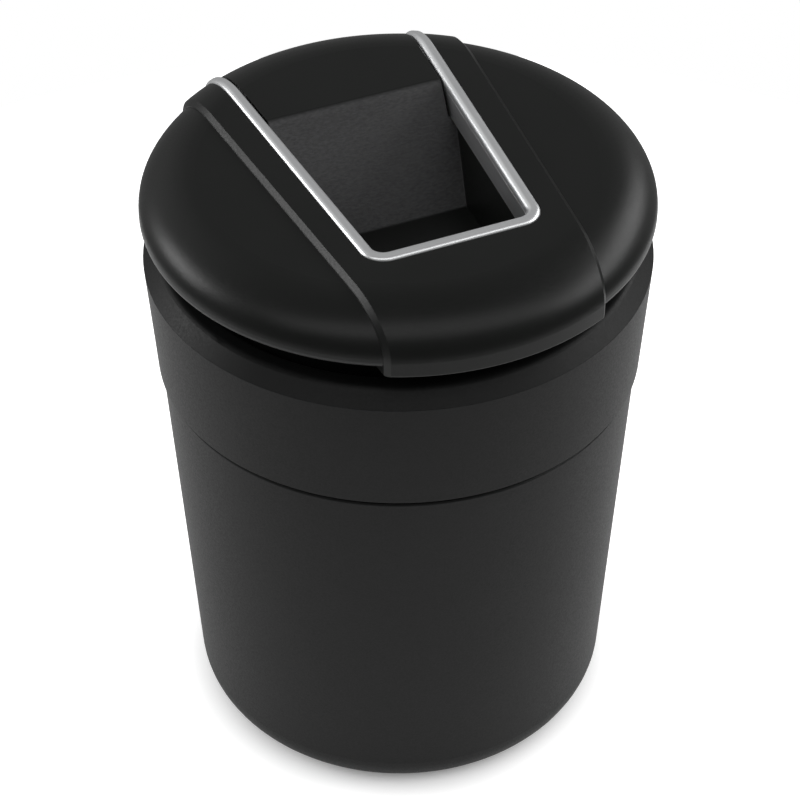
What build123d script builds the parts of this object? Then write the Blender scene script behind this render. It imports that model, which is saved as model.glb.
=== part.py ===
"""Cup-holder ashtray: tapered cup, turn-off head with a hinged round lid and a bright finger-grip frame.

Millimetres, +Z up, the front of the lid towards -Y, origin at the middle of the base on the table.
"""
import os
from math import cos, degrees, radians, sin, tan

from build123d import *

# Cup: a plain tapered tumbler
CUP_HEIGHT = 65.1
CUP_BASE_R = 32.5
CUP_RIM_R = 36.2
CUP_WALL = 2.4
CUP_FLOOR = 2.6
CUP_FOOT_R = 7.0
CUP_RIM_EDGE = 0.4
FOOT_BAND = 4.0
FOOT_RECESS = 0.8

# Ash liner: a pressed metal bowl that stands loose in the cup
LINER_WALL = 0.8
LINER_TOP_GAP = 1.5
LINER_BEAD_R = 0.9

# Bayonet between cup and head
BAYONET_COUNT = 3
LUG_WIDTH = 12.0
LUG_HEIGHT = 2.5
LUG_REACH = 2.2
LEDGE_HEIGHT = 3.1
TURN_ANGLE = 40.0
STOP_WIDTH = 1.6

# Collar: the tapered sleeve with the sloping shoulder
SEAM_GAP = 0.4
COLLAR_STEP = 0.5
COLLAR_STRAIGHT = 18.7
COLLAR_FLARE = 1.2
COLLAR_WALL = 2.2
COLLAR_FLANGE = 2.0
COLLAR_EDGE = 0.4
SHOULDER_RISE = 2.4
SHOULDER_RUN = 2.4
SHOULDER_EDGE = 1.4
CHANNEL_DEPTH = 2.0
CHANNEL_LAND = 2.0

# Neck ring: the inner tube with mouth rim, flanges and bayonet lugs
NECK_WALL = 1.8
NECK_FLANGE = 1.9
RIM_EDGE = 0.5
GASKET_HEIGHT = 0.8

# Mouth insert: a pressed ring with a notched crown where a cigarette rests
INSERT_GAP = 2.8
INSERT_SHEET = 0.8
INSERT_LEDGE = 1.4
CROWN_R = 22.0
CROWN_HEIGHT = 4.5
REST_COUNT = 3
REST_R = 4.2

# Lid: a round cap with a flat top and an elliptical edge
LID_OVERHANG = 0.1
LID_GAP = 5.1
LID_SKIRT = 1.7
LID_EDGE_RISE = 5.9
LID_EDGE_RUN = 8.5
LID_WALL = 2.0
LID_LIP_R = 1.2

# Raised band over the lid, narrower towards the front
BAND_RISE = 0.8
BAND_HALF_WIDTH = 19.1
BAND_TAPER = 0.086
BAND_CHAMFER = 0.7

# Frame round the finger opening: a U of bright strip, open to the back
TRIM_HALF_WIDTH = 15.1
TRIM_TAPER = 0.069
TRIM_FRONT_Y = -22.1
TRIM_LEG = 2.0
TRIM_BAR = 2.1
TRIM_CORNER_R = 3.8
TRIM_SEAT = 1.0
TRIM_PROUD = 0.4
TRIM_OUTER_EDGE = 0.6
TRIM_INNER_EDGE = 0.8
OPENING_SKIRT = 4.6
OPENING_WALL = 1.6

# Finger scoop: the pocket under the frame, the tongue behind it and the hinge barrel
POCKET_DEPTH = 15.3
POCKET_INSET = 0.3
POCKET_DRAFT = 5.9
POCKET_WALL = 1.5
POCKET_FRONT_REACH = 1.4
POCKET_FLANGE = 3.0
POCKET_FLANGE_HEIGHT = 1.2
SLOPE_ANGLE = 53.0
BEND_Y = 16.0
BEND_R = 1.6
TONGUE_GAP = 0.3
TONGUE_DROP = 0.1
TONGUE_LIFT = 1.2
TONGUE_WALL = 2.0

# Lid plate, its seal and its screws
PLATE_DROP = 0.4
PLATE_SHEET = 1.5
PLATE_EDGE_GAP = 0.6
SEAL_WIDTH = 1.6
SEAL_SHOW = 1.0
SEAL_SEAT = 0.5
SCREW_MARGIN = 1.6
SCREW_ANGLE = 27.5
SCREW_R = 1.2
SCREW_HEAD_R = 2.2
SCREW_HEAD = 1.3
SCREW_LENGTH = 5.5
SCREW_SLOT = 0.5
BOSS_R = 2.6

# Hinge
PIN_R = 1.0
KNUCKLE_R = 2.4
KNUCKLE_HALF = 5.6
HINGE_GAP = 0.6
HINGE_RISE = 1.0
EAR_WIDTH = 3.0
WASHER = 0.5
WASHER_R = 2.2
PIN_CHAMFER = 0.3
WEB_DEPTH = 4.0

# Clearances
RUN_GAP = 0.3
FIT_GAP = 0.1
PIN_RUN = 0.05
PIN_PRESS = 0.02

# Heights worked out from the sizes above
LEDGE_Z = CUP_HEIGHT - LEDGE_HEIGHT
LUG_Z = LEDGE_Z - RUN_GAP - LUG_HEIGHT
NECK_FOOT = LUG_Z - RUN_GAP
GASKET_Z = CUP_HEIGHT + RUN_GAP
COLLAR_Z = CUP_HEIGHT + SEAM_GAP
SHOULDER_Z = COLLAR_Z + COLLAR_STRAIGHT
COLLAR_TOP = SHOULDER_Z + SHOULDER_RISE
CHANNEL_Z = COLLAR_TOP - CHANNEL_DEPTH
LID_Z = COLLAR_TOP + LID_GAP
LID_WIDE_Z = LID_Z + LID_SKIRT
LID_TOP = LID_WIDE_Z + LID_EDGE_RISE
BAND_TOP = LID_TOP + BAND_RISE
PLATE_Z = LID_Z - PLATE_DROP
PLATE_TOP = PLATE_Z + PLATE_SHEET
RIM_TOP = PLATE_Z - SEAL_SHOW - RUN_GAP
OPENING_FOOT = BAND_TOP - OPENING_SKIRT
POCKET_FLOOR = BAND_TOP - POCKET_DEPTH
POCKET_TOP = OPENING_FOOT - FIT_GAP
INSERT_Z = POCKET_FLOOR - POCKET_WALL - INSERT_GAP - CROWN_HEIGHT
HINGE_Z = RIM_TOP + HINGE_RISE
TONGUE_FOOT = HINGE_Z + KNUCKLE_R + TONGUE_LIFT


def cup_inner_r(z):
    """Radius of the cup's inner wall at a height."""
    return CUP_BASE_R + (CUP_RIM_R - CUP_BASE_R) * z / CUP_HEIGHT - CUP_WALL


def collar_inner_r(z):
    """Radius of the collar's inner wall at a height."""
    return COLLAR_FOOT_R + COLLAR_FLARE * (z - COLLAR_Z) / COLLAR_STRAIGHT - COLLAR_WALL


# Radii and places worked out from the sizes above
COLLAR_FOOT_R = CUP_RIM_R + COLLAR_STEP
COLLAR_TOP_R = COLLAR_FOOT_R + COLLAR_FLARE
LID_R = COLLAR_TOP_R + LID_OVERHANG
NECK_R = cup_inner_r(LEDGE_Z) - LUG_REACH
NECK_BORE = NECK_R - NECK_WALL
LEDGE_R = NECK_R + RUN_GAP
LUG_R = cup_inner_r(LUG_Z) - RUN_GAP
SEAL_R = NECK_R - NECK_WALL / 2
SCREW_RING_R = SEAL_R - SEAL_WIDTH / 2 - SCREW_MARGIN - SCREW_HEAD_R
HINGE_Y = NECK_R + HINGE_GAP + KNUCKLE_R
EAR_X = KNUCKLE_HALF + RUN_GAP + WASHER
BEYOND = 2 * LID_R


def slope_y(z, wall=0.0):
    """Place of the finger slope at a height, on its open face or behind its wall."""
    angle = radians(SLOPE_ANGLE)
    return BEND_Y - (BAND_TOP - TONGUE_DROP - z) / tan(angle) + wall / sin(angle)


def lid_form(grow, foot, lip=0.0):
    """The lid's outer form, grown evenly by a distance, from a height upwards."""
    outer = LID_R + grow
    flat = LID_R - LID_EDGE_RUN
    top = LID_TOP + grow
    with BuildPart(mode=Mode.PRIVATE) as form:
        with BuildSketch(Plane.XZ):
            with BuildLine():
                Line((0, top), (0, foot))
                if lip:
                    Line((0, foot), (outer - lip, foot))
                    RadiusArc((outer - lip, foot), (outer, foot + lip), -lip)
                    Line((outer, foot + lip), (outer, LID_WIDE_Z))
                else:
                    Line((0, foot), (outer, foot))
                    Line((outer, foot), (outer, LID_WIDE_Z))
                EllipticalCenterArc(
                    (flat, LID_WIDE_Z),
                    outer - flat,
                    top - LID_WIDE_Z,
                    start_angle=0,
                    arc_size=90,
                )
                Line((flat, top), (0, top))
            make_face()
        revolve(axis=Axis.Z)
    return form.part


def wedge_plan(half_width, taper, front, back, corner=0.0):
    """A plan that narrows evenly towards the front, with round front corners."""
    with BuildSketch(mode=Mode.PRIVATE) as plan:
        with BuildLine():
            Polyline(
                (-half_width - taper * front, front),
                (half_width + taper * front, front),
                (half_width + taper * back, back),
                (-half_width - taper * back, back),
                close=True,
            )
        make_face()
        if corner:
            fillet(plan.vertices().group_by(Axis.Y)[0], corner)
    return plan.sketch


def opening_plan(inset_leg, inset_bar, back=BEYOND, corner=None):
    """The U opening's plan, drawn in from the frame's outer edge."""
    round_r = TRIM_CORNER_R - min(inset_leg, inset_bar) if corner is None else corner
    return wedge_plan(TRIM_HALF_WIDTH - inset_leg, TRIM_TAPER, TRIM_FRONT_Y + inset_bar, back, round_r)


def prism(plan, foot, top, draft=0.0):
    """A plan raised from one height to another, opening by a draft angle."""
    with BuildPart(mode=Mode.PRIVATE) as body:
        with BuildSketch(Plane.XY.offset(foot)):
            add(plan)
        extrude(amount=top - foot, taper=-draft)
    return body.part


def side_prism(points):
    """A side outline (Y, Z) carried across the whole width."""
    with BuildPart(mode=Mode.PRIVATE) as body:
        with BuildSketch(Plane.YZ):
            with BuildLine():
                Polyline(*points, close=True)
            make_face()
        extrude(amount=BEYOND, both=True)
    return body.part


def ring(inner, outer, foot, top):
    """A plain ring between two radii and two heights."""
    with BuildPart(mode=Mode.PRIVATE) as body:
        with BuildSketch(Plane.XY.offset(foot)):
            Circle(outer)
            Circle(inner, mode=Mode.SUBTRACT)
        extrude(amount=top - foot)
    return body.part


# Cup
with BuildPart() as cup:
    with BuildSketch(Plane.XZ):
        with BuildLine():
            Polyline((0, 0), (CUP_BASE_R, 0), (CUP_RIM_R, CUP_HEIGHT), (0, CUP_HEIGHT), close=True)
        make_face()
    revolve(axis=Axis.Z)
    fillet(cup.edges().filter_by(GeomType.CIRCLE).sort_by(Axis.Z)[0], CUP_FOOT_R)
    fillet(cup.edges().filter_by(GeomType.CIRCLE).sort_by(Axis.Z)[-1], CUP_RIM_EDGE)
    with BuildSketch(Plane.XZ) as cup_bore:
        with BuildLine():
            Polyline(
                (0, CUP_FLOOR),
                (cup_inner_r(CUP_FLOOR), CUP_FLOOR),
                (cup_inner_r(LEDGE_Z), LEDGE_Z),
                (LEDGE_R, LEDGE_Z),
                (LEDGE_R, CUP_HEIGHT),
                (0, CUP_HEIGHT),
                close=True,
            )
        make_face()
        foot_corner = cup_bore.vertices().group_by(Axis.Y)[0].sort_by(Axis.X)[-1]
        fillet(foot_corner, CUP_FOOT_R - CUP_WALL)
    revolve(axis=Axis.Z, mode=Mode.SUBTRACT)
    with BuildSketch(Plane.XY.offset(LEDGE_Z)):
        with PolarLocations(LEDGE_R, BAYONET_COUNT, start_angle=-90 + TURN_ANGLE):
            Rectangle(2 * LUG_R - 2 * NECK_R + 4 * RUN_GAP, LUG_WIDTH + 4 * RUN_GAP)
    extrude(amount=LEDGE_HEIGHT, mode=Mode.SUBTRACT)
    stop_angle = degrees((LUG_WIDTH / 2 + STOP_WIDTH) / LEDGE_R)
    stop_r = (LUG_R + CUP_RIM_R - CUP_WALL) / 2
    with BuildSketch(Plane.XY.offset(LUG_Z)):
        with PolarLocations(stop_r, BAYONET_COUNT, start_angle=-90 - stop_angle):
            Rectangle(CUP_RIM_R - LUG_R, STOP_WIDTH)
    extrude(amount=LEDGE_Z - LUG_Z)
    with BuildSketch():
        Circle(CUP_BASE_R - CUP_FOOT_R - FOOT_BAND)
    extrude(amount=FOOT_RECESS, taper=45, mode=Mode.SUBTRACT)
cup.part.label = "cup"

# Ash liner
liner_top = NECK_FOOT - LINER_TOP_GAP
liner_foot_r = cup_inner_r(CUP_FLOOR) - CUP_FOOT_R + CUP_WALL
liner_top_r = cup_inner_r(liner_top) - RUN_GAP - LINER_BEAD_R
with BuildPart() as ash_liner:
    with BuildSketch(Plane.XZ) as liner_form:
        with BuildLine():
            Polyline(
                (0, CUP_FLOOR),
                (liner_foot_r, CUP_FLOOR),
                (liner_top_r, liner_top),
                (0, liner_top),
                close=True,
            )
        make_face()
        fillet(liner_form.vertices().group_by(Axis.Y)[0].sort_by(Axis.X)[-1], CUP_FOOT_R)
    revolve(axis=Axis.Z)
    offset(amount=-LINER_WALL, openings=ash_liner.faces().sort_by(Axis.Z)[-1])
    with BuildSketch(Plane.XZ):
        with Locations((liner_top_r - LINER_WALL / 2, liner_top - LINER_BEAD_R)):
            Circle(LINER_BEAD_R)
    revolve(axis=Axis.Z)
ash_liner.part.label = "ash_liner"

# Collar
channel_r = COLLAR_TOP_R - SHOULDER_RUN - CHANNEL_LAND
flange_foot = CHANNEL_Z - COLLAR_FLANGE
ear_foot = CHANNEL_Z - COLLAR_FLANGE / 2
with BuildPart() as collar:
    with BuildSketch(Plane.XZ) as collar_form:
        with BuildLine():
            Polyline(
                (COLLAR_FOOT_R - COLLAR_WALL, COLLAR_Z),
                (COLLAR_FOOT_R, COLLAR_Z),
                (COLLAR_TOP_R, SHOULDER_Z),
                (COLLAR_TOP_R - SHOULDER_RUN, COLLAR_TOP),
                (channel_r, COLLAR_TOP),
                (channel_r, CHANNEL_Z),
                (NECK_R + FIT_GAP, CHANNEL_Z),
                (NECK_R + FIT_GAP, flange_foot),
                (collar_inner_r(flange_foot), flange_foot),
                close=True,
            )
        make_face()
        fillet(collar_form.vertices().group_by(Axis.Y)[-1].sort_by(Axis.X)[-1], SHOULDER_EDGE)
        chamfer(collar_form.vertices().group_by(Axis.Y)[0].sort_by(Axis.X)[-1], COLLAR_EDGE)
    revolve(axis=Axis.Z)
    for ear_start in (EAR_X, -EAR_X - EAR_WIDTH):
        with BuildSketch(Plane.YZ.offset(ear_start)):
            with Locations((HINGE_Y, HINGE_Z)):
                Circle(KNUCKLE_R)
            with BuildLine():
                Polyline(
                    (HINGE_Y - KNUCKLE_R, ear_foot),
                    (HINGE_Y, ear_foot),
                    (HINGE_Y + KNUCKLE_R, HINGE_Z),
                    (HINGE_Y - KNUCKLE_R, HINGE_Z),
                    close=True,
                )
            make_face()
        extrude(amount=EAR_WIDTH)
    with BuildSketch(Plane.YZ):
        with Locations((HINGE_Y, HINGE_Z)):
            Circle(PIN_R + PIN_PRESS)
    extrude(amount=BEYOND, both=True, mode=Mode.SUBTRACT)
collar.part.label = "collar"

# Neck ring
gasket_top = GASKET_Z + GASKET_HEIGHT
seat_r = collar_inner_r(COLLAR_Z) - RUN_GAP
flange_r = collar_inner_r(flange_foot - NECK_FLANGE) - RUN_GAP
with BuildPart() as neck_ring:
    add(ring(NECK_BORE, NECK_R, NECK_FOOT, RIM_TOP))
    fillet(neck_ring.edges().group_by(Axis.Z)[-1], RIM_EDGE)
    add(ring(NECK_BORE, flange_r, flange_foot - NECK_FLANGE, flange_foot))
    add(ring(NECK_BORE, seat_r, gasket_top, gasket_top + NECK_FLANGE))
    add(ring(NECK_BORE - INSERT_LEDGE, NECK_R, INSERT_Z - INSERT_LEDGE, INSERT_Z))
    with BuildSketch(Plane.XY.offset(LUG_Z)):
        with PolarLocations(NECK_R, BAYONET_COUNT, start_angle=-90):
            Rectangle(2 * (LUG_R - NECK_R) + NECK_WALL, LUG_WIDTH)
        Circle(LUG_R, mode=Mode.INTERSECT)
        Circle(NECK_BORE, mode=Mode.SUBTRACT)
    extrude(amount=LUG_HEIGHT)
neck_ring.part.label = "neck_ring"

# Neck gasket
with BuildPart() as neck_gasket:
    add(ring(LEDGE_R, seat_r, GASKET_Z, gasket_top))
neck_gasket.part.label = "neck_gasket"

# Mouth insert
insert_r = NECK_BORE - RUN_GAP
with BuildPart() as mouth_insert:
    with BuildSketch(Plane.XZ) as crown_form:
        with BuildLine():
            Polyline(
                (insert_r, INSERT_Z),
                (insert_r, INSERT_Z + INSERT_SHEET),
                (CROWN_R + INSERT_SHEET, INSERT_Z + INSERT_SHEET),
                (CROWN_R + INSERT_SHEET, INSERT_Z + CROWN_HEIGHT),
                (CROWN_R, INSERT_Z + CROWN_HEIGHT),
                (CROWN_R, INSERT_Z),
                close=True,
            )
        make_face()
        fillet(crown_form.vertices().group_by(Axis.Y)[0].sort_by(Axis.X)[0], INSERT_SHEET)
    revolve(axis=Axis.Z)
    with Locations((0, 0, INSERT_Z + CROWN_HEIGHT + REST_R / 4)):
        with PolarLocations(CROWN_R, REST_COUNT, start_angle=-90):
            Cylinder(REST_R, 4 * REST_R, rotation=(0, 90, 0), mode=Mode.SUBTRACT)
mouth_insert.part.label = "mouth_insert"

# Hinge pin
pin_half = EAR_X + EAR_WIDTH
with BuildPart() as hinge_pin:
    with BuildSketch(Plane.YZ.offset(-pin_half)):
        with Locations((HINGE_Y, HINGE_Z)):
            Circle(PIN_R)
    extrude(amount=2 * pin_half)
    chamfer(hinge_pin.edges().filter_by(GeomType.CIRCLE), PIN_CHAMFER)
hinge_pin.part.label = "hinge_pin"

# Friction washers between the ears and the lid's hinge barrel
with BuildPart() as hinge_washers:
    for washer_start in (EAR_X - WASHER, -EAR_X):
        with BuildSketch(Plane.YZ.offset(washer_start)):
            with Locations((HINGE_Y, HINGE_Z)):
                Circle(WASHER_R)
                Circle(PIN_R + PIN_PRESS, mode=Mode.SUBTRACT)
        extrude(amount=WASHER)
hinge_washers.part.label = "hinge_washers"

# Lid cover
side_form = lid_form(0, LID_Z, LID_LIP_R)
band_plan = wedge_plan(BAND_HALF_WIDTH + BAND_CHAMFER, BAND_TAPER, -BEYOND, BEYOND)
with BuildPart() as band:
    add(lid_form(BAND_RISE, LID_Z - BAND_RISE))
    add(prism(band_plan, 0, 2 * LID_TOP), mode=Mode.INTERSECT)
    band_sides = band.faces().filter_by(GeomType.PLANE).filter_by(lambda f: abs(f.normal_at().X) > 0.9)
    chamfer(band_sides.edges().filter_by(lambda e: e.center().Z > LID_Z), BAND_CHAMFER)
    fillet(band.edges().group_by(Axis.Z)[0].filter_by(GeomType.CIRCLE), BAND_RISE / 2)
screw_x = SCREW_RING_R * cos(radians(SCREW_ANGLE))
screw_y = SCREW_RING_R * sin(radians(SCREW_ANGLE))
boss_places = [(x, y) for x in (-screw_x, screw_x) for y in (-screw_y, screw_y)]
skirt_plan = opening_plan(TRIM_LEG - OPENING_WALL, TRIM_BAR - OPENING_WALL)
with BuildPart() as cover_hollow:
    add(lid_form(-LID_WALL, LID_Z - 2 * BAND_RISE))
    add(prism(skirt_plan, OPENING_FOOT, LID_TOP), mode=Mode.SUBTRACT)
    with BuildSketch(Plane.XY.offset(PLATE_TOP)):
        with Locations(*boss_places):
            Circle(BOSS_R)
    extrude(amount=LID_TOP - PLATE_TOP, mode=Mode.SUBTRACT)
    with BuildSketch(Plane.XY.offset(PLATE_TOP)):
        with Locations(*boss_places):
            Circle(SCREW_R + PIN_RUN)
    extrude(amount=SCREW_LENGTH - PLATE_SHEET + RUN_GAP)
seat_form = lid_form(BAND_RISE - TRIM_SEAT, 0)
with BuildPart() as trim_seat:
    add(prism(opening_plan(0, 0), LID_Z - 2 * BAND_RISE, 2 * LID_TOP))
    add(seat_form, mode=Mode.SUBTRACT)
with BuildPart() as lid_cover:
    add(side_form)
    add(band.part)
    add(cover_hollow.part, mode=Mode.SUBTRACT)
    add(prism(opening_plan(TRIM_LEG, TRIM_BAR), 0, 2 * LID_TOP), mode=Mode.SUBTRACT)
    add(trim_seat.part, mode=Mode.SUBTRACT)
lid_cover.part.label = "lid_cover"


def faces_opening(edge):
    """Whether an edge of the frame lies on its inner side."""
    place = edge.center()
    behind_bar = place.Y > TRIM_FRONT_Y + TRIM_BAR / 2
    return behind_bar and abs(place.X) < TRIM_HALF_WIDTH + TRIM_TAPER * place.Y - TRIM_LEG / 2


# Trim frame
with BuildPart() as trim_frame:
    add(prism(opening_plan(FIT_GAP / 2, FIT_GAP / 2), LID_Z, 2 * LID_TOP))
    add(prism(opening_plan(TRIM_LEG, TRIM_BAR), 0, 2 * LID_TOP), mode=Mode.SUBTRACT)
    add(lid_form(BAND_RISE + TRIM_PROUD, LID_Z), mode=Mode.INTERSECT)
    add(seat_form, mode=Mode.SUBTRACT)
    top_edges = trim_frame.faces().filter_by(lambda f: f.normal_at().Z > 0.5).edges()
    inner_edges = top_edges.filter_by(faces_opening)
    fillet(top_edges.filter_by(faces_opening, reverse=True), TRIM_OUTER_EDGE)
    fillet(inner_edges, TRIM_INNER_EDGE)
trim_frame.part.label = "trim_frame"

# Finger scoop: drafted pocket, steep slope, tongue over the back and hinge barrel
draft_gain = tan(radians(POCKET_DRAFT))
tongue_form = lid_form(BAND_RISE - TONGUE_DROP, 0)
slope_high = 2 * LID_TOP - POCKET_FLOOR


def pocket_plan(z, wall):
    """The pocket's plan at a height, on its open face or grown by its wall."""
    inset = POCKET_INSET - wall - draft_gain * (z - POCKET_FLOOR)
    front_inset = TRIM_BAR + inset - POCKET_FRONT_REACH
    return opening_plan(TRIM_LEG + inset, front_inset, corner=TRIM_CORNER_R + wall)


def before_slope(wall, foot):
    """All that lies in front of the slope's open face, or of the back of its wall."""
    return side_prism(
        [
            (-BEYOND, foot),
            (slope_y(foot, wall), foot),
            (slope_y(slope_high, wall), slope_high),
            (-BEYOND, slope_high),
        ]
    )


with BuildPart() as pocket_hollow:
    add(prism(pocket_plan(POCKET_FLOOR, 0), POCKET_FLOOR, POCKET_TOP, POCKET_DRAFT))
    add(before_slope(0, POCKET_FLOOR), mode=Mode.INTERSECT)
with BuildPart() as pocket_shell:
    pocket_foot = POCKET_FLOOR - POCKET_WALL
    add(prism(pocket_plan(pocket_foot, POCKET_WALL), pocket_foot, POCKET_TOP, POCKET_DRAFT))
    add(before_slope(POCKET_WALL, pocket_foot), mode=Mode.INTERSECT)
flange_reach = POCKET_WALL + POCKET_FLANGE
with BuildPart() as pocket_flange:
    add(prism(pocket_plan(PLATE_TOP, flange_reach), PLATE_TOP, PLATE_TOP + POCKET_FLANGE_HEIGHT))
    add(before_slope(flange_reach, PLATE_TOP), mode=Mode.INTERSECT)
with BuildPart() as tongue:
    add(prism(opening_plan(TRIM_LEG + TONGUE_GAP, TRIM_BAR), TONGUE_FOOT, 2 * LID_TOP))
    add(tongue_form, mode=Mode.INTERSECT)
    add(before_slope(0, TONGUE_FOOT), mode=Mode.SUBTRACT)
    bend_edge = tongue.edges().filter_by(Axis.X).group_by(Axis.Z)[-1].sort_by(Axis.Y)[0]
    fillet(bend_edge, BEND_R)
with BuildPart() as tongue_hollow:
    add(lid_form(BAND_RISE - TONGUE_DROP - TONGUE_WALL, 0))
    add(before_slope(TONGUE_WALL, 0), mode=Mode.SUBTRACT)
with BuildPart() as barrel:
    with BuildSketch(Plane.YZ.offset(-KNUCKLE_HALF)):
        with Locations((HINGE_Y, HINGE_Z)):
            Circle(KNUCKLE_R)
        with Locations((HINGE_Y + KNUCKLE_R - WEB_DEPTH / 2, (HINGE_Z + BAND_TOP) / 2)):
            Rectangle(WEB_DEPTH, BAND_TOP - HINGE_Z)
    extrude(amount=2 * KNUCKLE_HALF)
    add(tongue_form, mode=Mode.INTERSECT)
with BuildPart() as finger_scoop:
    add(tongue.part)
    add(tongue_hollow.part, mode=Mode.SUBTRACT)
    add(pocket_shell.part)
    add(pocket_flange.part)
    add(barrel.part)
    add(pocket_hollow.part, mode=Mode.SUBTRACT)
    with BuildSketch(Plane.YZ):
        with Locations((HINGE_Y, HINGE_Z)):
            Circle(PIN_R + PIN_RUN)
    extrude(amount=BEYOND, both=True, mode=Mode.SUBTRACT)
finger_scoop.part.label = "finger_scoop"

# Lid plate
plate_r = LID_R - LID_WALL - PLATE_EDGE_GAP
seal_inner = SEAL_R - SEAL_WIDTH / 2
seal_outer = SEAL_R + SEAL_WIDTH / 2
seal_top = PLATE_Z + SEAL_SEAT
hinge_notch_y = HINGE_Y - KNUCKLE_R - RUN_GAP
hinge_notch_x = EAR_X + EAR_WIDTH + RUN_GAP
window_back = slope_y(PLATE_TOP, POCKET_WALL) + FIT_GAP
window_side = [(-BEYOND, 0), (window_back, 0), (window_back, LID_TOP), (-BEYOND, LID_TOP)]
with BuildPart() as plate_window:
    add(prism(pocket_plan(PLATE_TOP, POCKET_WALL + FIT_GAP), PLATE_Z, PLATE_TOP))
    add(side_prism(window_side), mode=Mode.INTERSECT)
with BuildPart() as lid_plate:
    with BuildSketch(Plane.XY.offset(PLATE_Z)):
        Circle(plate_r)
        with Locations(*boss_places):
            Circle(SCREW_R + FIT_GAP, mode=Mode.SUBTRACT)
        with Locations((0, hinge_notch_y)):
            Rectangle(2 * hinge_notch_x, BEYOND, align=(Align.CENTER, Align.MIN), mode=Mode.SUBTRACT)
    extrude(amount=PLATE_SHEET)
    add(plate_window.part, mode=Mode.SUBTRACT)
    add(ring(seal_inner, seal_outer, PLATE_Z, seal_top), mode=Mode.SUBTRACT)
lid_plate.part.label = "lid_plate"

# Lid seal
with BuildPart() as lid_seal:
    add(ring(seal_inner, seal_outer, PLATE_Z - SEAL_SHOW, seal_top))
    fillet(lid_seal.edges().group_by(Axis.Z)[0], SEAL_WIDTH / 4)
lid_seal.part.label = "lid_seal"

# Lid screws: pan heads under the plate, shanks up into the cover's bosses
with BuildPart() as lid_screws:
    with BuildSketch(Plane.XY.offset(PLATE_Z - SCREW_HEAD)):
        with Locations(*boss_places):
            Circle(SCREW_HEAD_R)
    extrude(amount=SCREW_HEAD)
    fillet(lid_screws.edges().group_by(Axis.Z)[0], SCREW_HEAD / 2)
    with BuildSketch(Plane.XY.offset(PLATE_Z)):
        with Locations(*boss_places):
            Circle(SCREW_R)
    extrude(amount=SCREW_LENGTH)
    with BuildSketch(Plane.XY.offset(PLATE_Z - SCREW_HEAD)):
        with Locations(*boss_places):
            Rectangle(2 * SCREW_R, SCREW_SLOT)
            Rectangle(SCREW_SLOT, 2 * SCREW_R)
    extrude(amount=SCREW_HEAD / 2, mode=Mode.SUBTRACT)
lid_screws.part.label = "lid_screws"

os.makedirs("parts", exist_ok=True)
export_step(cup.part, "parts/cup.step")
export_step(ash_liner.part, "parts/ash_liner.step")
export_step(collar.part, "parts/collar.step")
export_step(neck_ring.part, "parts/neck_ring.step")
export_step(neck_gasket.part, "parts/neck_gasket.step")
export_step(mouth_insert.part, "parts/mouth_insert.step")
export_step(hinge_pin.part, "parts/hinge_pin.step")
export_step(hinge_washers.part, "parts/hinge_washers.step")
export_step(lid_cover.part, "parts/lid_cover.step")
export_step(trim_frame.part, "parts/trim_frame.step")
export_step(finger_scoop.part, "parts/finger_scoop.step")
export_step(lid_plate.part, "parts/lid_plate.step")
export_step(lid_seal.part, "parts/lid_seal.step")
export_step(lid_screws.part, "parts/lid_screws.step")
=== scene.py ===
import math

import bmesh
import bpy
from mathutils import Euler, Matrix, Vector

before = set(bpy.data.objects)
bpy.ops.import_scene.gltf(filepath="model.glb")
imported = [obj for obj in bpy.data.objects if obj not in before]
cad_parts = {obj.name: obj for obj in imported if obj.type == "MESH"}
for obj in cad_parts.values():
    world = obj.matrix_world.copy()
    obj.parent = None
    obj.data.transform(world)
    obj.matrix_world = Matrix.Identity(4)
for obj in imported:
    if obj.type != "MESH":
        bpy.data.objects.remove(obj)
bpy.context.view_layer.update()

# Cup: the tapered tumbler that drops into a car's cup holder. It is injection moulded in black plastic,
# with the fine even matt of a spark-eroded tool, and the head's bayonet holds on to the ledge inside its rim.
MM = 0.001
PLAIN_DETAIL = 2.0
GRAIN_DETAIL = 3.0
NOISE_LOW = 0.3
NOISE_HIGH = 0.7
EDGE_ROUND = 0.12 * MM
CLOUD_SIZE = 14 * MM
CUP_DARK = (0.0039, 0.0042, 0.0041)
CUP_LIGHT = (0.0053, 0.0056, 0.0055)
CUP_SHEEN = (0.42, 0.54)
CUP_GRAIN = 0.32 * MM
CUP_GRAIN_DEPTH = 0.010 * MM
CUP_GLOSS = 0.20


def add_node(tree, kind, **values):
    """A shader node with its properties and unlinked sockets set."""
    node = tree.nodes.new(kind)
    for key, value in values.items():
        if key in node.inputs:
            node.inputs[key].default_value = value
        else:
            setattr(node, key, value)
    return node


def parts_of(finish):
    """The node tree and the shader of a finish."""
    tree = finish.node_tree
    return tree, tree.nodes["Principled BSDF"]


def new_finish(name):
    """An empty node material, with its node tree and its shader."""
    finish = bpy.data.materials.new(name)
    finish.use_nodes = True
    return finish, *parts_of(finish)


def own_place(tree):
    """The object's own coordinates."""
    return add_node(tree, "ShaderNodeTexCoord").outputs["Object"]


def noise_of(tree, place, size, detail=PLAIN_DETAIL, stretch=(1.0, 1.0, 1.0)):
    """Noise whose blotches are about a size across, in metres, drawn out along the axes."""
    mapping = add_node(tree, "ShaderNodeMapping", Scale=[1.0 / part for part in stretch])
    noise = add_node(tree, "ShaderNodeTexNoise", Scale=1.0 / size, Detail=detail)
    tree.links.new(place, mapping.inputs["Vector"])
    tree.links.new(mapping.outputs["Vector"], noise.inputs["Vector"])
    return noise.outputs["Fac"]


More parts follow.
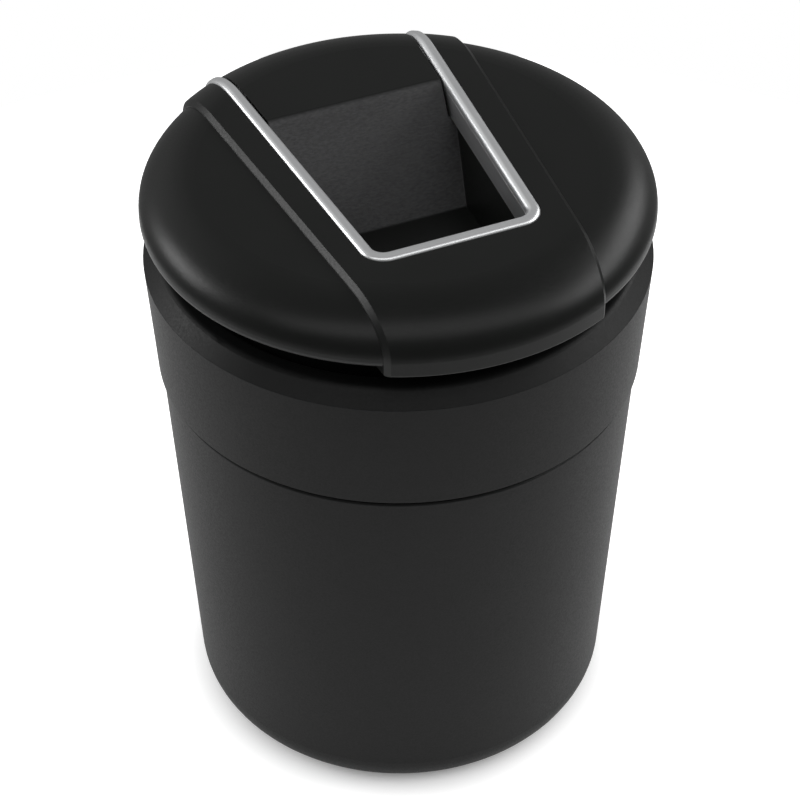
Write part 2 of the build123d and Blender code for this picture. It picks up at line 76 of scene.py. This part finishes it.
def ranged(tree, value, low, high, start=NOISE_LOW, end=NOISE_HIGH):
    """A value stretched to run between two numbers, by default from where nearly all noise lies."""
    ramp = add_node(tree, "ShaderNodeMapRange")
    ramp.inputs["From Min"].default_value = start
    ramp.inputs["From Max"].default_value = end
    ramp.inputs["To Min"].default_value = low
    ramp.inputs["To Max"].default_value = high
    tree.links.new(value, ramp.inputs["Value"])
    return ramp.outputs["Result"]


def mixed(tree, value, first, second):
    """A colour between two others, each a plain colour or an output, by a value."""
    blend = add_node(tree, "ShaderNodeMix", data_type="RGBA")
    ends = [socket for socket in blend.inputs if socket.type == "RGBA"]
    for socket, colour in zip(ends, (first, second)):
        if isinstance(colour, tuple):
            socket.default_value = (*colour, 1.0)
        else:
            tree.links.new(colour, socket)
    tree.links.new(value, blend.inputs["Factor"])
    return next(socket for socket in blend.outputs if socket.type == "RGBA")


def bumped(tree, value, depth, under=None):
    """A bump of a depth in metres, on top of another bump."""
    bump = add_node(tree, "ShaderNodeBump", Distance=depth)
    tree.links.new(value, bump.inputs["Height"])
    if under is not None:
        tree.links.new(under, bump.inputs["Normal"])
    return bump.outputs["Normal"]


def moulded_black(name, dark, light, sheen, grain, grain_depth, gloss):
    """Moulded black plastic: eroded grain, clouded colour, uneven sheen and edges that are just broken."""
    finish, tree, shader = new_finish(name)
    place = own_place(tree)
    cloud = noise_of(tree, place, CLOUD_SIZE, detail=GRAIN_DETAIL)
    fine = noise_of(tree, place, grain, detail=GRAIN_DETAIL)
    tree.links.new(mixed(tree, ranged(tree, cloud, 0.0, 1.0), dark, light), shader.inputs["Base Color"])
    tree.links.new(ranged(tree, fine, *sheen), shader.inputs["Roughness"])
    broken = add_node(tree, "ShaderNodeBevel", Radius=EDGE_ROUND)
    tree.links.new(bumped(tree, fine, grain_depth, broken.outputs["Normal"]), shader.inputs["Normal"])
    shader.inputs["Specular IOR Level"].default_value = gloss
    return finish


def dress(node, finish):
    """Gives a solid from the frame its finish."""
    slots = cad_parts[node].data.materials
    slots.clear()
    slots.append(finish)


cup_black = moulded_black("cup_black", CUP_DARK, CUP_LIGHT, CUP_SHEEN, CUP_GRAIN, CUP_GRAIN_DEPTH, CUP_GLOSS)
dress("cup", cup_black)

# Ash liner: a bowl spun from thin aluminium that stands loose in the cup and lifts out to be emptied.
# The spinning tool leaves fine rings, and handling leaves a dull bloom.
BLOOM_DETAIL = 4.0
METAL_BLOOM = 9 * MM
LINER_DARK = (0.62, 0.63, 0.64)
LINER_LIGHT = (0.74, 0.75, 0.76)
LINER_SHEEN = (0.30, 0.46)
LINER_RINGS = 0.25 * MM
LINER_RING_DEPTH = 0.006 * MM


def calculated(tree, operation, *values):
    """The result of one sum on outputs and plain numbers."""
    step = add_node(tree, "ShaderNodeMath", operation=operation)
    for socket, value in zip(step.inputs, values):
        if isinstance(value, (int, float)):
            socket.default_value = value
        else:
            tree.links.new(value, socket)
    return step.outputs["Value"]


def split_place(tree, place):
    """The three coordinates of a place, by their letters."""
    parts = add_node(tree, "ShaderNodeSeparateXYZ")
    tree.links.new(place, parts.inputs["Vector"])
    return parts.outputs


def turned_lines(tree, place, size):
    """Fine rings about the upright axis, as a spinning tool or a press leaves them."""
    flat = add_node(tree, "ShaderNodeVectorMath", operation="MULTIPLY")
    flat.inputs[1].default_value = (1.0, 1.0, 0.0)
    tree.links.new(place, flat.inputs[0])
    radius = add_node(tree, "ShaderNodeVectorMath", operation="LENGTH")
    tree.links.new(flat.outputs["Vector"], radius.inputs[0])
    along = calculated(tree, "ADD", radius.outputs["Value"], split_place(tree, place)["Z"])
    lines = add_node(tree, "ShaderNodeTexNoise", noise_dimensions="1D", Scale=1.0 / size, Detail=GRAIN_DETAIL)
    tree.links.new(along, lines.inputs["W"])
    return lines.outputs["Fac"]


def worked_metal(name, dark, light, sheen, lines, line_depth, metal=1.0):
    """Bare metal: a ringed or drawn surface from its tool, under a clouded bloom."""
    finish, tree, shader = new_finish(name)
    place = own_place(tree)
    bloom = noise_of(tree, place, METAL_BLOOM, detail=BLOOM_DETAIL)
    tooled = lines(tree, place)
    tree.links.new(mixed(tree, ranged(tree, bloom, 0.0, 1.0), dark, light), shader.inputs["Base Color"])
    tree.links.new(ranged(tree, tooled, *sheen), shader.inputs["Roughness"])
    tree.links.new(bumped(tree, tooled, line_depth), shader.inputs["Normal"])
    shader.inputs["Metallic"].default_value = metal
    return finish


def liner_rings(tree, place):
    """The spun rings of the liner."""
    return turned_lines(tree, place, LINER_RINGS)


spun_aluminium = worked_metal(
    "spun_aluminium", LINER_DARK, LINER_LIGHT, LINER_SHEEN, liner_rings, LINER_RING_DEPTH
)
dress("ash_liner", spun_aluminium)

# Neck gasket: a flat ring cut from black rubber sheet, pressed between the cup's rim and the neck's flange.
# The cut sheet is dull, with a fine tooth and a grey bloom.
RUBBER_TOOTH = 0.2 * MM
RUBBER_TOOTH_DEPTH = 0.015 * MM
RUBBER_BLOOM = 4 * MM
RUBBER_DARK = (0.012, 0.012, 0.012)
RUBBER_LIGHT = (0.026, 0.026, 0.025)
RUBBER_SHEEN = (0.62, 0.80)
RUBBER_GLOSS = 0.25
rubber, tree, shader = new_finish("soft_rubber")
place = own_place(tree)
tooth = noise_of(tree, place, RUBBER_TOOTH, detail=GRAIN_DETAIL)
bloom = noise_of(tree, place, RUBBER_BLOOM, detail=GRAIN_DETAIL)
rubber_grey = mixed(tree, ranged(tree, bloom, 0.0, 1.0), RUBBER_DARK, RUBBER_LIGHT)
tree.links.new(rubber_grey, shader.inputs["Base Color"])
tree.links.new(ranged(tree, tooth, *RUBBER_SHEEN), shader.inputs["Roughness"])
tree.links.new(bumped(tree, tooth, RUBBER_TOOTH_DEPTH), shader.inputs["Normal"])
shader.inputs["Specular IOR Level"].default_value = RUBBER_GLOSS
dress("neck_gasket", rubber)

# Neck ring: the inner tube with the mouth's rim, two flanges and the bayonet's lugs. It is moulded in the
# same black, from a plainer tool, so it is a little smoother than what shows outside.
INNER_DARK = (0.0050, 0.0052, 0.0052)
INNER_LIGHT = (0.0066, 0.0068, 0.0068)
INNER_SHEEN = (0.30, 0.40)
INNER_GRAIN = 0.5 * MM
INNER_GRAIN_DEPTH = 0.006 * MM
INNER_GLOSS = 0.20
inner_black = moulded_black(
    "inner_black", INNER_DARK, INNER_LIGHT, INNER_SHEEN, INNER_GRAIN, INNER_GRAIN_DEPTH, INNER_GLOSS
)
dress("neck_ring", inner_black)

# Mouth insert: a ring pressed from thin steel sheet, with a notched crown where a cigarette is laid
# or put out. The press leaves drawn lines round the ring, and the heat has tinted the steel very slightly.
INSERT_DARK = (0.48, 0.47, 0.45)
INSERT_LIGHT = (0.62, 0.62, 0.62)
INSERT_SHEEN = (0.26, 0.42)
INSERT_RINGS = 0.16 * MM
INSERT_RING_DEPTH = 0.004 * MM


def insert_rings(tree, place):
    """The drawn lines of the insert."""
    return turned_lines(tree, place, INSERT_RINGS)


pressed_steel = worked_metal(
    "pressed_steel", INSERT_DARK, INSERT_LIGHT, INSERT_SHEEN, insert_rings, INSERT_RING_DEPTH
)
dress("mouth_insert", pressed_steel)

# Collar: the tapered sleeve with the sloping shoulder and the two hinge ears, moulded like the cup and pushed
# over the neck ring. It turns with the head.
dress("collar", cup_black)

# Hinge pin: a length of ground steel rod with chamfered ends, pressed into the collar's ears.
# Grinding leaves very fine lines round the rod.
PIN_DARK = (0.52, 0.52, 0.53)
PIN_LIGHT = (0.60, 0.60, 0.61)
PIN_SHEEN = (0.20, 0.34)
PIN_LINES = 0.08 * MM
PIN_LINE_DEPTH = 0.002 * MM
PIN_STRETCH = (1.0, 40.0, 40.0)


def ground_lines(tree, place):
    """The ground lines round the pin."""
    return noise_of(tree, place, PIN_LINES, stretch=PIN_STRETCH)


ground_steel = worked_metal("ground_steel", PIN_DARK, PIN_LIGHT, PIN_SHEEN, ground_lines, PIN_LINE_DEPTH)
dress("hinge_pin", ground_steel)

# Hinge washers: two discs punched from natural nylon sheet, squeezed between the ears and the lid's barrel,
# so that the lid stays where it is put. Nylon is milky and lets a little light in.
NYLON_DARK = (0.66, 0.64, 0.57)
NYLON_LIGHT = (0.74, 0.72, 0.66)
NYLON_CLOUD = 1.5 * MM
NYLON_SHEEN = (0.38, 0.52)
NYLON_MILK = 0.4
NYLON_DEPTH = 0.4 * MM
nylon, tree, shader = new_finish("natural_nylon")
cloud = noise_of(tree, own_place(tree), NYLON_CLOUD, detail=GRAIN_DETAIL)
nylon_white = mixed(tree, ranged(tree, cloud, 0.0, 1.0), NYLON_DARK, NYLON_LIGHT)
tree.links.new(nylon_white, shader.inputs["Base Color"])
tree.links.new(ranged(tree, cloud, *NYLON_SHEEN), shader.inputs["Roughness"])
shader.inputs["Subsurface Weight"].default_value = NYLON_MILK
shader.inputs["Subsurface Scale"].default_value = NYLON_DEPTH
dress("hinge_washers", nylon)

# Finger scoop: the pocket, slope, tongue and hinge barrel in one black moulding, as smooth as the lid.
# Only the slope comes from a coarser eroded tool face, with a fine sideways grain for the finger; its much
# lighter grey is painted light, standing in for the light that falls on the front-facing slope.
LID_DARK = (0.0042, 0.0048, 0.0042)
LID_LIGHT = (0.0054, 0.0060, 0.0054)
LID_SHEEN = (0.32, 0.42)
LID_GRAIN = 0.26 * MM
LID_GRAIN_DEPTH = 0.005 * MM
LID_GLOSS = 0.30
# Painted light: the slope's grey is far lighter than the same black moulding elsewhere, as if lit from the
# front.
SLOPE_LIT_GREY_DARK = (0.034, 0.034, 0.035)
SLOPE_LIT_GREY_LIGHT = (0.060, 0.060, 0.061)
SLOPE_SHEEN = (0.46, 0.60)
SLOPE_GRAIN = 0.30 * MM
SLOPE_GRAIN_DEPTH = 0.040 * MM
SLOPE_STRETCH = (2.4, 1.0, 1.0)
SLOPE_ANGLE = math.radians(53.0)
SLOPE_BEND_Y = 16.0 * MM
SLOPE_BEND_Z = 100.0 * MM
SLOPE_FADE = (0.15 * MM, 0.6 * MM)


def fed_by(shader, name):
    """The output that feeds a shader's socket so far."""
    return shader.inputs[name].links[0].from_socket


def blended(tree, mask, first, second):
    """A value that goes from one to another, each a plain number or an output, by a mask."""
    change = calculated(tree, "SUBTRACT", second, first)
    return calculated(tree, "MULTIPLY_ADD", change, mask, first)


scoop_black = moulded_black(
    "scoop_black", LID_DARK, LID_LIGHT, LID_SHEEN, LID_GRAIN, LID_GRAIN_DEPTH, LID_GLOSS
)
tree, shader = parts_of(scoop_black)
place = own_place(tree)
where = split_place(tree, place)
run_per_rise = 1.0 / math.tan(SLOPE_ANGLE)
slope_start = SLOPE_BEND_Y - SLOPE_BEND_Z * run_per_rise
slope_at = calculated(tree, "MULTIPLY_ADD", where["Z"], run_per_rise, slope_start)
off_slope = calculated(tree, "ABSOLUTE", calculated(tree, "SUBTRACT", where["Y"], slope_at))
on_slope = ranged(tree, off_slope, 1.0, 0.0, *SLOPE_FADE)
streaks = noise_of(tree, place, SLOPE_GRAIN, detail=GRAIN_DETAIL, stretch=SLOPE_STRETCH)
# Painted light: the slope gets a much lighter grey than the tongue, standing in for the light on it; the
# streaks are its real grain.
grey = mixed(tree, ranged(tree, streaks, 0.0, 1.0), SLOPE_LIT_GREY_DARK, SLOPE_LIT_GREY_LIGHT)
scoop_colour_with_painted_light = mixed(tree, on_slope, fed_by(shader, "Base Color"), grey)
tree.links.new(scoop_colour_with_painted_light, shader.inputs["Base Color"])
grained_sheen = ranged(tree, streaks, *SLOPE_SHEEN)
scoop_sheen = blended(tree, on_slope, fed_by(shader, "Roughness"), grained_sheen)
tree.links.new(scoop_sheen, shader.inputs["Roughness"])
grain_height = calculated(tree, "MULTIPLY", streaks, on_slope)
grained = bumped(tree, grain_height, SLOPE_GRAIN_DEPTH, fed_by(shader, "Normal"))
tree.links.new(grained, shader.inputs["Normal"])
dress("finger_scoop", scoop_black)

# Lid cover: the round cap with its raised band and the U opening, moulded in black from a fine tool.
# The opening's inner wall carries painted light: the frame's bright silver stands in for the light on that
# dark wall, so that the two look like one deep strip.
SILVER_LIGHT = (0.90, 0.91, 0.92)
OPENING_HALF_WIDTH = 13.20 * MM
OPENING_TAPER = 0.069
OPENING_FRONT = -20.10 * MM
OPENING_FADE = 0.05 * MM
WALL_SHEEN = 0.34
lid_black = moulded_black("lid_black", LID_DARK, LID_LIGHT, LID_SHEEN, LID_GRAIN, LID_GRAIN_DEPTH, LID_GLOSS)
tree, shader = parts_of(lid_black)
where = split_place(tree, own_place(tree))
half_width = calculated(tree, "MULTIPLY_ADD", where["Y"], OPENING_TAPER, OPENING_HALF_WIDTH)
within_sides = calculated(tree, "SUBTRACT", half_width, calculated(tree, "ABSOLUTE", where["X"]))
behind_front = calculated(tree, "SUBTRACT", where["Y"], OPENING_FRONT)
within = calculated(tree, "MINIMUM", within_sides, behind_front)
# Painted light: the opening's dark inner wall is coloured and finished as bright silver metal.
painted_light_wall = ranged(tree, within, 0.0, 1.0, 0.0, OPENING_FADE)
cover_colour_with_painted_light_wall = mixed(tree, painted_light_wall, fed_by(shader, "Base Color"), SILVER_LIGHT)
tree.links.new(cover_colour_with_painted_light_wall, shader.inputs["Base Color"])
cover_sheen = blended(tree, painted_light_wall, fed_by(shader, "Roughness"), WALL_SHEEN)
tree.links.new(cover_sheen, shader.inputs["Roughness"])
tree.links.new(painted_light_wall, shader.inputs["Metallic"])
dress("lid_cover", lid_black)

# Trim frame: a bright U strip with rolled edges, pressed into the seat round the opening. Its satin silver
# coat is a little milky, so it scatters part of the light, and a very fine drawn line runs along the strip.
SILVER_DARK = (0.84, 0.85, 0.86)
TRIM_SHEEN = (0.28, 0.36)
TRIM_LINES = 0.12 * MM
TRIM_LINE_DEPTH = 0.001 * MM
TRIM_STRETCH = (1.0, 16.0, 1.0)
TRIM_METAL = 0.85
TRIM_ROLL = 0.8 * MM
TRIM_ROLL_SAMPLES = 16


def drawn_lines(tree, place):
    """The drawn lines along the frame's legs."""
    return noise_of(tree, place, TRIM_LINES, stretch=TRIM_STRETCH)


satin_silver = worked_metal(
    "satin_silver", SILVER_DARK, SILVER_LIGHT, TRIM_SHEEN, drawn_lines, TRIM_LINE_DEPTH, metal=TRIM_METAL
)
tree, shader = parts_of(satin_silver)
rolled = add_node(tree, "ShaderNodeBevel", Radius=TRIM_ROLL, samples=TRIM_ROLL_SAMPLES)
tree.links.new(rolled.outputs["Normal"], fed_by(shader, "Normal").node.inputs["Normal"])
dress("trim_frame", satin_silver)

# Lid plate: the round black plate under the lid, which holds the scoop's flange against the cover.
# It comes from a plain tool, like the neck ring.
dress("lid_plate", inner_black)

# Lid seal: a ring of the same black rubber as the gasket, pressed into the plate's groove.
# It closes on the mouth's rim.
dress("lid_seal", rubber)

# Lid screws: four small pan-head screws of zinc-plated steel, driven up into the cover's bosses.
# The plating is clouded, with a faint blue cast.
ZINC_DARK = (0.46, 0.48, 0.51)
ZINC_LIGHT = (0.66, 0.67, 0.68)
ZINC_SHEEN = (0.24, 0.40)
ZINC_CLOUD = 0.5 * MM
ZINC_CLOUD_DEPTH = 0.002 * MM


def zinc_clouds(tree, place):
    """The clouded plating of the screws."""
    return noise_of(tree, place, ZINC_CLOUD, detail=BLOOM_DETAIL)


zinc_plate = worked_metal("zinc_plate", ZINC_DARK, ZINC_LIGHT, ZINC_SHEEN, zinc_clouds, ZINC_CLOUD_DEPTH)
dress("lid_screws", zinc_plate)

# Floor: a plain white round table top. It shows white to the camera and in reflections, apart from the soft
# contact shadow close round the foot.
TABLE_RADIUS = 0.18
TABLE_SIDES = 128
WHITE = (1.0, 1.0, 1.0, 1.0)
FLOOR_WHITE = (0.84, 0.84, 0.84, 1.0)
FLOOR_ROUGHNESS = 0.9
CAMERA_LIFT = 0.95
MIRROR_LIFT = 0.40
SHADOW_REACH = 8 * MM
SHADOW_SAMPLES = 16
table = bmesh.new()
bmesh.ops.create_circle(table, cap_ends=True, segments=TABLE_SIDES, radius=TABLE_RADIUS)
table_mesh = bpy.data.meshes.new("floor")
table.to_mesh(table_mesh)
table.free()
floor = bpy.data.objects.new("floor", table_mesh)
bpy.context.scene.collection.objects.link(floor)
white_floor, tree, shader = new_finish("white_floor")
shader.inputs["Base Color"].default_value = FLOOR_WHITE
shader.inputs["Roughness"].default_value = FLOOR_ROUGHNESS
shader.inputs["Specular IOR Level"].default_value = 0.0
shader.inputs["Emission Color"].default_value = WHITE
path = add_node(tree, "ShaderNodeLightPath")
mirrored = calculated(tree, "MAXIMUM", path.outputs["Is Glossy Ray"], path.outputs["Is Transmission Ray"])
direct_lift = calculated(tree, "MULTIPLY", path.outputs["Is Camera Ray"], CAMERA_LIFT)
lift = calculated(tree, "MULTIPLY_ADD", mirrored, MIRROR_LIFT, direct_lift)
contact = add_node(tree, "ShaderNodeAmbientOcclusion", Distance=SHADOW_REACH, samples=SHADOW_SAMPLES)
shaded_lift = calculated(tree, "MULTIPLY", lift, contact.outputs["AO"])
tree.links.new(shaded_lift, shader.inputs["Emission Strength"])
floor.data.materials.append(white_floor)

# Studio: a plain grey room that is lighter behind than in front, with a soft glow at the back left, a soft
# box at each side and a broad faint one in front. The camera sees plain white, and glossy faces see the room.
ROOM_FRONT = 0.18
ROOM_BACK = 0.27
ROOM_TURN = 0.4
GLOW_AZIMUTH = -156.0
GLOW_ELEVATION = 32.0
GLOW_LIGHT = 0.34
GLOW_EDGE = (0.87, 0.98)
LAMP_AIM = Vector((0.0, 0.0, 0.09))
LAMP_DISTANCE = 0.9


def way_to(azimuth, elevation):
    """The direction at an azimuth from the front, to the right, and at an elevation, in degrees."""
    turn = math.radians(azimuth)
    rise = math.radians(elevation)
    return Vector((math.sin(turn) * math.cos(rise), -math.cos(turn) * math.cos(rise), math.sin(rise)))


def softbox(name, azimuth, elevation, width, height, watts):
    """An upright soft lamp that faces the lid."""
    lamp = bpy.data.lights.new(name, "AREA")
    lamp.shape = "RECTANGLE"
    lamp.size = width
    lamp.size_y = height
    lamp.energy = watts
    box = bpy.data.objects.new(name, lamp)
    away = way_to(azimuth, elevation)
    box.location = LAMP_AIM + away * LAMP_DISTANCE
    box.rotation_euler = (-away).to_track_quat("-Z", "Y").to_euler()
    bpy.context.scene.collection.objects.link(box)


world = bpy.data.worlds.new("studio")
bpy.context.scene.world = world
world.use_nodes = True
tree = world.node_tree
sky = tree.nodes["Background"]
sky.inputs["Color"].default_value = WHITE
way = add_node(tree, "ShaderNodeTexCoord").outputs["Generated"]
room = ranged(tree, split_place(tree, way)["Y"], ROOM_FRONT, ROOM_BACK, -ROOM_TURN, ROOM_TURN)
towards = add_node(tree, "ShaderNodeVectorMath", operation="DOT_PRODUCT")
towards.inputs[1].default_value = way_to(GLOW_AZIMUTH, GLOW_ELEVATION)
tree.links.new(way, towards.inputs[0])
glow = ranged(tree, towards.outputs["Value"], 0.0, GLOW_LIGHT, *GLOW_EDGE)
path = add_node(tree, "ShaderNodeLightPath")
room_and_glow = calculated(tree, "ADD", room, glow)
seen_or_room = calculated(tree, "MAXIMUM", path.outputs["Is Camera Ray"], room_and_glow)
tree.links.new(seen_or_room, sky.inputs["Strength"])
softbox("left_box", azimuth=-124.0, elevation=17.0, width=0.44, height=0.34, watts=2.8)
softbox("right_box", azimuth=84.0, elevation=26.0, width=1.10, height=0.36, watts=4.8)
softbox("front_box", azimuth=-14.0, elevation=56.0, width=2.00, height=0.50, watts=3.6)

# Camera: a long lens at the photograph's viewing angle, turned very slightly about its own axis.
# It aims at the object's upright axis, and the shift only centres the frame.
CAMERA_TARGET = Vector((0.0, 0.0, 0.053967))
CAMERA_AZIMUTH = -23.09
CAMERA_ELEVATION = 40.46
CAMERA_DISTANCE = 0.4345
CAMERA_ROLL = math.radians(-0.239)
CAMERA_LENS = 125.56
CAMERA_SENSOR = 36.0
CAMERA_SHIFT = 0.0013
CAMERA_NEAR = 0.01
back = way_to(CAMERA_AZIMUTH, CAMERA_ELEVATION)
lens = bpy.data.cameras.new("camera")
lens.sensor_width = CAMERA_SENSOR
lens.lens = CAMERA_LENS
lens.shift_x = CAMERA_SHIFT
lens.clip_start = CAMERA_NEAR
camera = bpy.data.objects.new("camera", lens)
camera.location = CAMERA_TARGET + back * CAMERA_DISTANCE
facing = (-back).to_track_quat("-Z", "Y").to_matrix()
camera.rotation_euler = (facing @ Euler((0.0, 0.0, CAMERA_ROLL)).to_matrix()).to_euler()
bpy.context.scene.collection.objects.link(camera)
bpy.context.scene.camera = camera
bpy.context.scene.view_settings.view_transform = "Standard"
